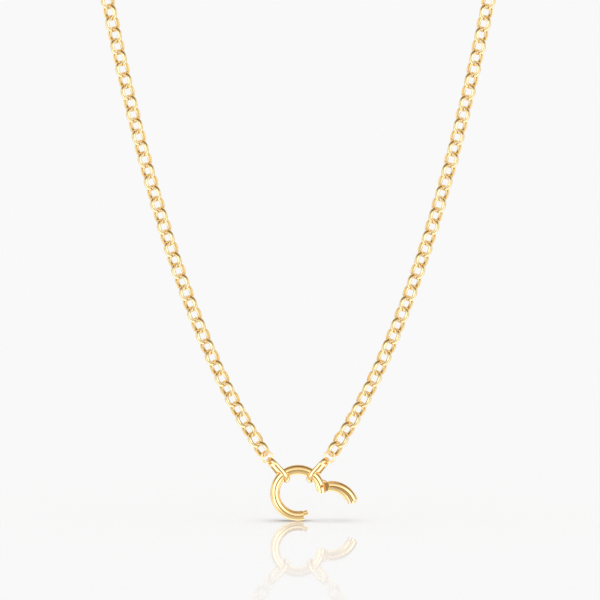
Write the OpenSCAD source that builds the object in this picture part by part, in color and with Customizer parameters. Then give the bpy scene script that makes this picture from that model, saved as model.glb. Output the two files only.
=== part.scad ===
// Belcher-chain necklace with a hinged ring clasp worn at the front.
// Millimetres, +Z up. The front strands hang in one plane, the chain runs
// back round the neck, and the origin is the middle of the nape link.

/* [Chain links] */
// Width of one link across its flat, outside
link_w = 3.4; // [2.6:0.1:4.6]
// Length of the straight stretch that makes the link a little oval
link_straight = 0.32; // [0.1:0.02:0.6]
// Width of the link's half-round band
band_w = 1.02; // [0.7:0.02:1.2]
// Thickness of the band at its crown
band_t = 0.5; // [0.3:0.02:0.56]
// Slack where two links meet, which lets them swing
link_play = 0.24; // [0.22:0.01:0.4]

/* [Drape] */
// Size of the hanging curve: larger hangs wider
drape_a = 29.8; // [24:0.2:38]
// Lean from the vertical where a strand reaches its jump ring
drape_lean = 34.8; // [30:0.2:42]
// Links in each separately hinged stretch of the front strands
links_per_stretch = 4; // [3:1:5]
// Hinged stretches on each side of the front
stretches = 11; // [8:1:12]
// Radius of the bend where a strand leaves the chest and turns back
shoulder_r = 22; // [16:1:30]
// How far the strand turns back over the shoulder
shoulder_turn = 68; // [55:1:75]
// Shortest straight run along each side of the neck
side_run_min = 6; // [4:1:20]
// Links in each stretch that lies round the neck
links_per_neck_stretch = 8; // [5:1:9]

/* [Jump rings] */
// Outside diameter of the small round jump ring
ring_od = 2.8; // [2.5:0.1:3.6]
// Wire diameter of the small round jump ring
ring_wire = 0.45; // [0.35:0.05:0.6]
// Turn of the jump ring about the strand's line, away from flat-on
ring_turn = 20; // [16:1:40]
// Thickness of the oval connector's band
oval_t = 0.64; // [0.54:0.02:0.8]
// Width of that band where it passes round the clasp
oval_w = 1.1; // [0.9:0.05:1.2]
// Width of that band where it passes through the jump ring
oval_top_w = 0.66; // [0.5:0.02:0.8]
// Room inside the oval connector beyond the clasp's own thickness
oval_room = 0.9; // [0.8:0.02:1.1]
// Outside length of the oval connector
oval_l = 6.8; // [6.2:0.1:8.4]
// Turn of the oval about its own length, away from edge-on
oval_turn = 17; // [10:1:18]

/* [Clasp] */
// Outside diameter of the clasp ring
clasp_od = 12; // [11:0.5:15]
// Diameter of the clasp ring's round bar
bar_d = 2.1; // [1.8:0.05:2.5]
// Where the ovals sit, as an angle from the top of the clasp ring
oval_angle = 41; // [36:1:46]
// Angle of the hinge pin round the clasp ring, up from the right-hand side
hinge_angle = 16; // [10:1:20]
// Angle of the joint where the closed gate meets the body
joint_angle = -77; // [-84:1:-70]
// How far outside the bar's middle the hinge pin sits
pin_out = 0.35; // [0.2:0.05:0.4]
// How far the gate stands open as modelled
gate_open = 92; // [0:1:92]
// Diameter of the hinge pin
pin_d = 0.6; // [0.5:0.05:0.8]
// Radius of the rounded hinge cheeks about the pin
cheek_r = 1.5; // [1.3:0.05:1.7]
// Radius of the gate's knuckle about the pin
knuckle_r = 1.4; // [1.2:0.02:1.5]
// Thickness of the gate's knuckle between the hinge cheeks
knuckle_t = 0.8; // [0.6:0.05:1]
// Turn about the pin by which the gate's outer prong springs out
prong_spread = 4.4; // [3:0.2:6]
// Reach of the catch tongue beyond the body's end
tongue_l = 1.15; // [0.8:0.05:1.4]
// Diameter of the catch tongue
tongue_d = 1.1; // [0.9:0.05:1.2]
// How far inside the bar's middle the tongue sits
tongue_low = 0.3; // [0.2:0.05:0.4]
// Width of the slit that makes the gate's end springy
slit_t = 0.12; // [0.1:0.02:0.24]
// Length of that slit past the end of the tongue
slit_past = 0.6; // [0.3:0.1:2.6]
// How far inside the bar's middle the slit runs
slit_low = 0.42; // [0.3:0.02:0.6]
// Depth and width of the notch between the prongs' ends
notch = 0.8; // [0.5:0.05:1]

/* [Fits] */
// Radial clearance of the hinge pin in the gate
pin_clear = 0.03; // [0.02:0.01:0.06]
// Gap beside the knuckle, beside the tongue and at the clasp's joint
side_clear = 0.06; // [0.04:0.01:0.1]
// Gap past the knuckle and past the tongue, along the bar
end_clear = 0.3; // [0.2:0.05:0.5]
// Gap between the jump ring and the oval that hangs in it
wire_clear = 0.05; // [0.03:0.01:0.1]
// Gap between the oval's lower end and the clasp's bar
oval_clear = 0.15; // [0.12:0.01:0.25]

/* [Hidden] */
gold = "#e3b866";
deep_gold = "#d7a850";

// Links
link_ir = link_w / 2 - band_t;
link_crown = 1.1;
comfort = 1.2;
pitch = link_straight + 2 * link_ir - link_play;

// Clasp
bar_r = bar_d / 2;
clasp_r = clasp_od / 2 - bar_r;
pin_at = (clasp_r + pin_out) * [cos(hinge_angle), sin(hinge_angle)];
knuckle_root = 0.8;
cheek_in = 0.5 * bar_r;
tongue_root = 4;
knuckle_in = 0.9 * bar_r;
pin_l = 2 * sqrt(bar_r * bar_r - pin_out * pin_out) - side_clear;
past_bar = bar_r + 1;

// Ovals and jump rings, measured out from the centre of the clasp ring
oval_in_w = bar_d + oval_room;
oval_low = clasp_r - bar_r - oval_clear - oval_t;
oval_crown = 0.8;
oval_full = 0.35 * oval_l;
ring_r = (ring_od - ring_wire) / 2;
ring_at = oval_low + oval_l - oval_t - wire_clear - ring_wire / 2 + ring_r;
ring_x = ring_at * sin(oval_angle);
ring_z = ring_at * cos(oval_angle);

// Hanging curve: s is the length along it from its virtual lowest point
function asinh(v) = ln(v + sqrt(v * v + 1));
s_ring = drape_a / tan(drape_lean);
curve_x0 = drape_a * asinh(s_ring / drape_a) - ring_x;
curve_z0 = sqrt(drape_a * drape_a + s_ring * s_ring) - ring_z;
function curve_x(s) = drape_a * asinh(s / drape_a) - curve_x0;
function curve_z(s) = sqrt(drape_a * drape_a + s * s) - curve_z0;
function curve_lean(s) = atan2(drape_a, s);
first_pitch = ring_r - ring_wire / 2 + link_straight / 2 + link_ir - link_play;
front_links = links_per_stretch * stretches;
function link_s(i) = s_ring + first_pitch + i * pitch;
s_top = link_s(front_links - 1);
top_lean = curve_lean(s_top);

// Way back round the neck: a bend over the shoulder, a run and an arc
shoulder_l = shoulder_r * shoulder_turn * PI / 180;
turn_x = curve_x(s_top) + sin(top_lean) * shoulder_r * sin(shoulder_turn);
run_dx = sin(top_lean) * cos(shoulder_turn);
neck_turn = acos(-run_dx);
arc_share = neck_turn * PI / 180 / sin(neck_turn);
neck_links = ceil((shoulder_l + turn_x * arc_share + side_run_min) / pitch);
side_run = (neck_links * pitch - shoulder_l - turn_x * arc_share) / (1 + run_dx * arc_share);
neck_r = (turn_x + side_run * run_dx) / sin(neck_turn);
neck_roll = 180 - atan2(sin(top_lean) * sin(shoulder_turn), cos(top_lean));
neck_stretches = ceil((neck_links - 1) / links_per_neck_stretch);

// Nape, measured from the centre of the clasp ring
back_reach = side_run * cos(shoulder_turn) + shoulder_r * sin(shoulder_turn);
climb = norm([sin(shoulder_turn), cos(shoulder_turn) * cos(top_lean)]);
arc_depth = neck_r * (1 - cos(neck_turn)) / climb;
nape_y = shoulder_r * (1 - cos(shoulder_turn)) + (side_run + arc_depth) * sin(shoulder_turn);
nape_z = curve_z(s_top) + cos(top_lean) * (back_reach + arc_depth * cos(shoulder_turn));

// Names, top stretch first on each side
sides = ["left", "right"];
strand_nodes = [for (side = sides) for (k = [1:stretches]) str("chain_", side, "_", k)];
neck_nodes = [for (side = sides) for (k = [1:neck_stretches]) str("neck_chain_", side, "_", k)];

// The whole necklace is drawn about the clasp ring and moved to the nape
module from_nape() { translate([0, -nape_y, -nape_z]) children(); }

// Mirrors its children for the left-hand side
module on_side(side) {
    if (side == "left") mirror([1, 0, 0]) children();
    else children();
}

// Puts its children t along the way back from the top of the front strand
module round_neck(t) {
    bend = min(t, shoulder_l) / shoulder_r * 180 / PI;
    run = min(max(t - shoulder_l, 0), side_run);
    turn = max(t - shoulder_l - side_run, 0) / neck_r * 180 / PI;
    translate([curve_x(s_top), 0, curve_z(s_top)])
    rotate([0, top_lean, 0])
    translate([0, shoulder_r, 0]) rotate([-bend, 0, 0]) translate([0, -shoulder_r, run])
    rotate([0, 0, neck_roll])
    translate([neck_r, 0, 0]) rotate([0, turn, 0]) translate([-neck_r, 0, 0])
    rotate([0, 0, -neck_roll])
    children();
}

// Puts its children at link i, counted up from the jump ring
module at_link(i) {
    s = link_s(i);
    if (s <= s_top) translate([curve_x(s), 0, curve_z(s)]) rotate([0, curve_lean(s), 0]) children();
    else round_neck(s - s_top) children();
}

// Half-round band in section: domed outside, a little domed inside
module band_section(inner, w, t, crown) {
    intersection() {
        translate([inner, -w / 2]) square([t, w]);
        translate([inner + t - crown * w, 0]) circle(r = crown * w, $fn = 64);
        translate([inner + comfort * w, 0]) circle(r = comfort * w, $fn = 64);
    }
}

// Oval ring of that band, long way up, its flat facing Y
module band_oval(inner, straight, w, t, crown) {
    for (up = [0, 1]) {
        mirror([0, 0, up]) translate([0, 0, straight / 2])
        rotate([90, 0, 0]) rotate_extrude(angle = 180, $fn = 64) band_section(inner, w, t, crown);
    }
    for (over = [0, 1]) {
        mirror([over, 0, 0]) translate([0, 0, -straight / 2])
        linear_extrude(straight) band_section(inner, w, t, crown);
    }
}

// Link i of the chain, turned a quarter turn from its neighbours
module placed_link(i) {
    at_link(i) rotate([0, 0, i % 2 == 0 ? 45 : -45])
    band_oval(link_ir, link_straight, band_w, band_t, link_crown);
}

// A run of links on one side, first to last counted up from the jump ring
module link_run(side, first, last) {
    color(gold) from_nape() on_side(side) for (i = [first:last]) placed_link(i);
}

module chain_stretch(side, k) {
    first = (stretches - k) * links_per_stretch;
    link_run(side, first, first + links_per_stretch - 1);
}

module neck_stretch(side, k) {
    first = front_links + (neck_stretches - k) * links_per_neck_stretch;
    last = min(first + links_per_neck_stretch, front_links + neck_links - 1) - 1;
    link_run(side, first, last);
}

module nape_link() {
    color(gold) from_nape() placed_link(front_links + neck_links - 1);
}

// Small round ring between the chain and the oval
module jump_ring(side) {
    color(deep_gold) from_nape() on_side(side)
    translate([ring_x, 0, ring_z]) rotate([0, oval_angle, 0]) rotate([0, 0, -ring_turn])
    rotate([90, 0, 0]) rotate_extrude($fn = 96) translate([ring_r, 0]) circle(d = ring_wire, $fn = 48);
}

// Oval that hangs from the jump ring and holds the clasp ring's bar. Its band
// is broad round the bar and slims to its upper end.
module oval_connector(side) {
    reach = oval_l / 2;
    color(gold) from_nape() on_side(side)
    rotate([0, oval_angle, 0]) translate([0, 0, oval_low + reach])
    rotate([0, 0, 90 - oval_turn])
    intersection() {
        band_oval(oval_in_w / 2, oval_l - oval_in_w - 2 * oval_t, oval_w, oval_t, oval_crown);
        rotate([90, 0, 90]) linear_extrude(2 * oval_in_w, center = true) polygon([
            [-oval_w, -reach - 1], [oval_w, -reach - 1], [oval_w / 2, oval_full - reach],
            [oval_top_w / 2, reach], [oval_top_w / 2, reach + 1],
            [-oval_top_w / 2, reach + 1], [-oval_top_w / 2, reach], [-oval_w / 2, oval_full - reach]]);
    }
}

// Round bar along the clasp ring, from one angle round to another, or a
// thinner one that lies further in by low
module ring_bar(from, to, r = bar_r, low = 0) {
    rotate([90, 0, 0]) rotate_extrude(angle = to - from, start = from, $fn = 160)
    translate([clasp_r - low, 0]) circle(r = r, $fn = 64);
}

// Cylinder along Y about the hinge pin's centre
module at_pin(r, t = 2 * past_bar) {
    translate([pin_at[0], 0, pin_at[1]]) rotate([90, 0, 0]) cylinder(r = r, h = t, center = true, $fn = 64);
}

// Disc with a full round rim, about the pin
module knuckle() {
    flat_r = knuckle_r - knuckle_t / 2;
    translate([pin_at[0], 0, pin_at[1]]) rotate([90, 0, 0]) rotate_extrude($fn = 96) {
        translate([0, -knuckle_t / 2]) square([flat_r, knuckle_t]);
        intersection() {
            translate([flat_r, 0]) circle(d = knuckle_t, $fn = 48);
            translate([flat_r, -knuckle_t]) square([knuckle_t, 2 * knuckle_t]);
        }
    }
}

// A block centred on the ring's own curve, for slots: from one angle to another
module ring_slot(from, to, low, high, t) {
    rotate([90, 0, 0]) rotate_extrude(angle = to - from, start = from, $fn = 160)
    translate([clasp_r + low, -t / 2]) square([high - low, t]);
}

// Angle round the clasp ring that a length along its bar takes up
function bar_angle(l) = l / clasp_r * 180 / PI;

module clasp_body() {
    slot_t = knuckle_t + 2 * side_clear;
    slot_top = hinge_angle + bar_angle(knuckle_r + end_clear);
    cheek_end = hinge_angle - 2 * bar_angle(cheek_r);
    color(gold) from_nape() {
        difference() {
            union() {
                ring_bar(hinge_angle, 360 + joint_angle);
                intersection() {
                    ring_bar(cheek_end, hinge_angle + 1);
                    at_pin(cheek_r);
                }
            }
            ring_slot(cheek_end, slot_top, -past_bar, past_bar, slot_t);
            intersection() {
                at_pin(knuckle_r + side_clear);
                ring_slot(cheek_end, slot_top, -past_bar, -cheek_in, 2 * past_bar);
            }
            at_pin(pin_d / 2);
        }
        ring_bar(joint_angle - tongue_root, joint_angle + bar_angle(tongue_l), tongue_d / 2, tongue_low);
    }
}

module hinge_pin() {
    color(deep_gold) from_nape() at_pin(pin_d / 2, pin_l);
}

// Turns its children about the pin, opening for positive angles
module about_pin(angle) {
    translate([pin_at[0], 0, pin_at[1]]) rotate([0, -angle, 0])
    translate([-pin_at[0], 0, -pin_at[1]]) children();
}

// Notch that parts the ends of the gate's two prongs
module prong_notch() {
    rotate([0, -joint_angle, 0]) translate([clasp_r - slit_low + slit_t / 2, 0, 0])
    rotate([90, 0, 0]) linear_extrude(2 * past_bar, center = true)
    polygon([[0, notch], [-notch / 3, -notch / 2], [notch * 2 / 3, -notch / 2]]);
}

// The gate, drawn shut with its outer prong sprung out, then swung open
module clasp_gate() {
    end_angle = joint_angle + bar_angle(side_clear);
    tongue_angle = joint_angle + bar_angle(tongue_l);
    root_angle = hinge_angle - bar_angle(cheek_r + knuckle_root);
    color(gold) from_nape() about_pin(gate_open) difference() {
        union() {
            difference() {
                for (spread = [0, prong_spread]) about_pin(spread) ring_bar(end_angle, hinge_angle);
                at_pin(cheek_r + side_clear);
            }
            ring_slot(root_angle, hinge_angle, -knuckle_in, knuckle_in, knuckle_t);
            knuckle();
        }
        at_pin(pin_d / 2 + pin_clear);
        ring_slot(joint_angle - tongue_root, tongue_angle + bar_angle(end_clear),
            -past_bar, tongue_d / 2 - tongue_low + side_clear, tongue_d + 2 * side_clear);
        ring_slot(joint_angle - tongue_root, tongue_angle + bar_angle(slit_past),
            -slit_low, slit_t - slit_low, 2 * past_bar);
        prong_notch();
    }
}

nape_link();
for (side = sides) for (k = [1:neck_stretches])
    neck_stretch(side, k);
for (side = sides) for (k = [1:stretches])
    chain_stretch(side, k);
for (side = sides) jump_ring(side);
for (side = sides) oval_connector(side);
clasp_body();
hinge_pin();
clasp_gate();
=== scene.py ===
"""Chain necklace with a hinged ring clasp: looks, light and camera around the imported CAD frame."""

import math

import bpy
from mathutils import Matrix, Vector


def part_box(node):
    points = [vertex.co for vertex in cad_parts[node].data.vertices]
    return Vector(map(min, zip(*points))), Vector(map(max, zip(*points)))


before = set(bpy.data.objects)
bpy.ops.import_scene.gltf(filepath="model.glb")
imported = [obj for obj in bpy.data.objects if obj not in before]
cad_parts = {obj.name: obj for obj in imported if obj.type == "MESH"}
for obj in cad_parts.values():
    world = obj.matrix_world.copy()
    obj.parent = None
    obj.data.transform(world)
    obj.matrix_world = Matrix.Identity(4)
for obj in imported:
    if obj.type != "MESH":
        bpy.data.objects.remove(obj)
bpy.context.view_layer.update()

MM = 0.001
SHARP_EDGE = math.radians(35)

# The gold's patterns: noise scales of its tint, polish and wear, where the tint turns from deep to
# light, how far the polish varies, how deep the wear is, and how far the edges are softened
TINT_SCALE = 420
POLISH_SCALE = 1500
WEAR_SCALE = 5200
TINT_STOPS = (0.35, 0.65)
POLISH_SPREAD = 0.3
WEAR_DEPTH = 0.004 * MM
EDGE_RADIUS = 0.07 * MM

# Levels of light: the plain backdrop, the tent's sides as the gold mirrors them, its dark colour,
# and how much of that the camera's lens and the table's edge show
BACKGROUND = 0.947
SIDE_LIGHT = 0.78
WARM_DARK = (0.26, 0.14, 0.01)
FRONT_DARK = 0.75

# The floor: its gap under the clasp, its disc and where the rim fades out
FLOOR_GAP = 0.02 * MM
FLOOR_RADIUS = 0.8
RIM_FADE = (0.35, 0.75)

# Its gloss: how rough, how strong at the clasp's foot, how far it reaches, how steeply it falls off
# with distance, and how steeply as the look steepens
GLOSS_ROUGH = 0.03
GLOSS_AT_FOOT = 0.88
GLOSS_REACH = 0.36
GLOSS_FALL = 2.6
GLOSS_GRAZING = 3

# Its shade under the clasp: how far the clasp is felt, from and to what share of open sky it
# deepens, and its full colour
SHADE_REACH = 9 * MM
SHADE_SKY = (0.97, 0.6)
CONTACT_SHADE = (0.46, 0.45, 0.445)

# The camera: how wide it sees at the necklace, how far off it is, its rise, and where it aims
VIEW_WIDTH = 128.1 * MM
CAMERA_DISTANCE = 1.2
CAMERA_RISE = math.radians(3)
AIM_X = 0.4 * MM
AIM_HEIGHT = 47.3 * MM

# Sockets of a Mix node that are reached by number, because its colour sockets share their names
COLOUR_A, COLOUR_B, COLOUR_OUT = 6, 7, 2


class Nodes:
    """A node tree, with short ways to add nodes and join them."""

    def __init__(self, tree):
        self.tree = tree

    def add(self, kind, inputs=None, **settings):
        """A new node. Each input is joined where it is a socket, and is set where it is a value."""
        node = self.tree.nodes.new("ShaderNode" + kind)
        for name, value in settings.items():
            setattr(node, name, value)
        for key, value in (inputs or {}).items():
            self.feed(node, key, value)
        return node

    def feed(self, node, key, value):
        if isinstance(value, bpy.types.NodeSocket):
            self.tree.links.new(value, node.inputs[key])
        else:
            node.inputs[key].default_value = value

    def maths(self, operation, *terms):
        return self.add("Math", dict(enumerate(terms)), operation=operation).outputs[0]

    def remap(self, value, start, end, low=0.0, high=1.0, smooth=False):
        """Value, taken from the range start..end to low..high and held at its ends."""
        ends = {"Value": value, "From Min": start, "From Max": end, "To Min": low, "To Max": high}
        kind = "SMOOTHSTEP" if smooth else "LINEAR"
        return self.add("MapRange", ends, interpolation_type=kind).outputs["Result"]

    def blend(self, amount, a, b, kind="MIX"):
        """Colour a, going to colour b by amount."""
        colours = {"Factor": amount, COLOUR_A: a, COLOUR_B: b}
        return self.add("Mix", colours, data_type="RGBA", blend_type=kind).outputs[COLOUR_OUT]

    def noise(self, where, scale, detail=2.0):
        return self.add("TexNoise", {"Vector": where, "Scale": scale, "Detail": detail}).outputs["Fac"]


def new_material(name):
    """A new material, its nodes and its Principled shader."""
    material = bpy.data.materials.new(name)
    material.use_nodes = True
    return material, Nodes(material.node_tree), material.node_tree.nodes["Principled BSDF"]


# ---------------------------------------------------------------- gold


def gold(name, colour, deep, rough, grain):
    """Polished gold: a faint drift of colour, uneven polish, fine wear and softened edges."""
    material, nodes, shader = new_material(name)
    where = nodes.add("TexCoord").outputs["Object"]

    tint = nodes.add("ValToRGB", {"Fac": nodes.noise(where, TINT_SCALE)})
    for stop, position, shade in zip(tint.color_ramp.elements, TINT_STOPS, (deep, colour)):
        stop.position = position
        stop.color = (*shade, 1)

    polish = nodes.noise(where, POLISH_SCALE, detail=4)
    smoothest, roughest = rough * (1 - POLISH_SPREAD), rough * (1 + POLISH_SPREAD)

    wear = nodes.noise(where, WEAR_SCALE, detail=3)
    edge = nodes.add("Bevel", {"Radius": EDGE_RADIUS}, samples=6).outputs["Normal"]
    relief = {"Strength": grain, "Distance": WEAR_DEPTH, "Height": wear, "Normal": edge}
    bump = nodes.add("Bump", relief)

    nodes.feed(shader, "Metallic", 1.0)
    nodes.feed(shader, "Base Color", tint.outputs["Color"])
    nodes.feed(shader, "Roughness", nodes.remap(polish, 0, 1, smoothest, roughest))
    nodes.feed(shader, "Normal", bump.outputs["Normal"])
    return material


CHAIN_GOLD = gold("chain gold", (1.0, 0.81, 0.47), (0.96, 0.75, 0.4), rough=0.11, grain=0.1)
RING_GOLD = gold("ring gold", (1.0, 0.76, 0.41), (0.96, 0.7, 0.35), rough=0.1, grain=0.2)
CLASP_GOLD = gold("clasp gold", (1.0, 0.745, 0.38), (0.96, 0.69, 0.32), rough=0.07, grain=0.15)


def finish_for(node):
    """The gold for a CAD node, and a name for its slot."""
    if node.startswith(("clasp", "hinge")):
        return CLASP_GOLD, "gold_clasp"
    if node.startswith(("jump", "oval")):
        return RING_GOLD, "gold_rings"
    return CHAIN_GOLD, "gold_chain"


for name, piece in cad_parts.items():
    material, slot = finish_for(name)
    piece.data.materials.clear()
    piece.data.materials.append(material)
    piece.data.shade_smooth()
    piece.data.set_sharp_from_angle(angle=SHARP_EDGE)

# ---------------------------------------------------------------- floor, light and camera

clasp_low, clasp_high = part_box("clasp_body")
FLOOR_Z = clasp_low.z - FLOOR_GAP
FRONT_Y = (clasp_low.y + clasp_high.y) / 2


def floor_material():
    """Pale floor, glossy near the clasp's foot at a grazing look. Its rim fades into the backdrop."""
    material, nodes, shader = new_material("floor")
    nodes.tree.nodes.remove(shader)
    where = nodes.add("TexCoord").outputs["Object"]
    reach = nodes.add("VectorMath", {0: where}, operation="LENGTH").outputs["Value"]

    open_sky = nodes.add("AmbientOcclusion", {"Distance": SHADE_REACH}, samples=24).outputs["AO"]
    shade = nodes.blend(nodes.remap(open_sky, *SHADE_SKY), (1, 1, 1, 1), (*CONTACT_SHADE, 1))
    pale = nodes.blend(1.0, (BACKGROUND, BACKGROUND, BACKGROUND, 1), shade, kind="MULTIPLY")
    matt = nodes.add("BsdfDiffuse", {"Color": pale}).outputs["BSDF"]
    gloss = nodes.add("BsdfGlossy", {"Color": shade, "Roughness": GLOSS_ROUGH}).outputs["BSDF"]

    falling = nodes.remap(reach, 0, GLOSS_REACH, GLOSS_AT_FOOT, 0)
    nearness = nodes.maths("POWER", falling, GLOSS_FALL)
    grazing = nodes.maths("POWER", nodes.add("LayerWeight").outputs["Facing"], GLOSS_GRAZING)
    amount = nodes.maths("MULTIPLY", nearness, grazing)
    surface = nodes.add("MixShader", {"Fac": amount, 1: matt, 2: gloss}).outputs["Shader"]

    rim = nodes.remap(reach, *RIM_FADE, smooth=True)
    clear = nodes.add("BsdfTransparent").outputs["BSDF"]
    whole = nodes.add("MixShader", {"Fac": rim, 1: surface, 2: clear}).outputs["Shader"]
    nodes.feed(nodes.tree.nodes["Material Output"], "Surface", whole)
    return material


def floor():
    """The floor, which the gold doesn't mirror: it mirrors the tent's lower half in its place."""
    bpy.ops.mesh.primitive_circle_add(vertices=96, radius=FLOOR_RADIUS, fill_type="NGON")
    disc = bpy.context.object
    disc.name = "floor"
    disc.location = (0, FRONT_Y, FLOOR_Z)
    disc.data.materials.append(floor_material())
    disc.visible_glossy = False


def studio():
    """A pale tent, mirrored in the gold: bright panels, a dark gap overhead and a dark front."""
    world = bpy.data.worlds.new("studio")
    bpy.context.scene.world = world
    world.use_nodes = True
    world.cycles.sampling_method = "NONE"
    nodes = Nodes(world.node_tree)
    maths = nodes.maths

    # Directions in degrees: pitch runs up from the front and over the top, side runs round from
    # the front either way, and height runs up from the horizon.
    way = nodes.add("TexCoord").outputs["Generated"]
    x, y, z = nodes.add("SeparateXYZ", {"Vector": way}).outputs
    front = maths("MULTIPLY", y, -1.0)
    pitch = maths("DEGREES", maths("ARCTAN2", z, front))
    side = maths("ABSOLUTE", maths("DEGREES", maths("ARCTAN2", x, front)))
    height = maths("DEGREES", maths("ARCSINE", z))

    def band(angle, low, high, soft):
        """1 from low to high, easing to 0 over the soft edges. An end past the angle's range is open."""
        rise = nodes.remap(angle, low - soft, low + soft, smooth=True)
        fall = nodes.remap(angle, high - soft, high + soft, 1, 0, smooth=True)
        return maths("MULTIPLY", rise, fall)

    def patch(strength, *bands):
        """Strength where all of the bands cross, and 0 elsewhere."""
        for mask in bands:
            strength = maths("MULTIPLY", mask, strength)
        return strength

    softboxes = patch(1.5, band(side, 18, 56, soft=6), band(height, -34, 34, soft=10))
    upper_front = patch(0.5, band(side, -90, 16, soft=5), band(height, 8, 32, soft=6))
    low_back = patch(1.2, band(pitch, -128, -104, soft=5))
    ring_behind = band(side, 78, 200, soft=8), band(height, -2, 14, soft=4)
    backdrop = patch(BACKGROUND - SIDE_LIGHT, *ring_behind)
    level = SIDE_LIGHT
    for panel in (softboxes, upper_front, low_back, backdrop):
        level = maths("ADD", level, panel)

    wide_gap = patch(0.6, band(pitch, 60, 122, soft=8))
    deep_gap = patch(0.4, band(pitch, 82, 116, soft=6))
    above = band(height, 20, 120, soft=10)
    overhead = maths("MULTIPLY", maths("ADD", wide_gap, deep_gap), above)
    lens = patch(FRONT_DARK, band(side, -90, 10, soft=3), band(height, -14, 4, soft=4))
    table_edge = patch(FRONT_DARK, band(side, -90, 45, soft=10), band(height, -33, -25, soft=5))
    dark = maths("MAXIMUM", overhead, maths("MAXIMUM", lens, table_edge))
    mirrored = nodes.blend(dark, level, (*WARM_DARK, 1))

    # The backdrop is plain, and matt surfaces are lit evenly.
    path = nodes.add("LightPath")
    matt_ray = path.outputs["Is Diffuse Ray"]
    plain = maths("MAXIMUM", path.outputs["Is Camera Ray"], matt_ray)
    even = maths("ADD", maths("MULTIPLY", matt_ray, 1.0 - BACKGROUND), BACKGROUND)
    nodes.feed(world.node_tree.nodes["Background"], "Color", nodes.blend(plain, mirrored, even))


def camera():
    """A long lens, a little above level, framed on the hanging front of the necklace."""
    aim = Vector((AIM_X, FRONT_Y, FLOOR_Z + AIM_HEIGHT))
    data = bpy.data.cameras.new("camera")
    data.lens = data.sensor_width * CAMERA_DISTANCE / VIEW_WIDTH
    data.clip_start = 0.05
    eye = bpy.data.objects.new("camera", data)
    bpy.context.scene.collection.objects.link(eye)
    eye.location = aim + Vector((0, -math.cos(CAMERA_RISE), math.sin(CAMERA_RISE))) * CAMERA_DISTANCE
    eye.rotation_euler = (math.radians(90) - CAMERA_RISE, 0, 0)
    bpy.context.scene.camera = eye


floor()
studio()
camera()
bpy.context.scene.view_settings.view_transform = "Standard"
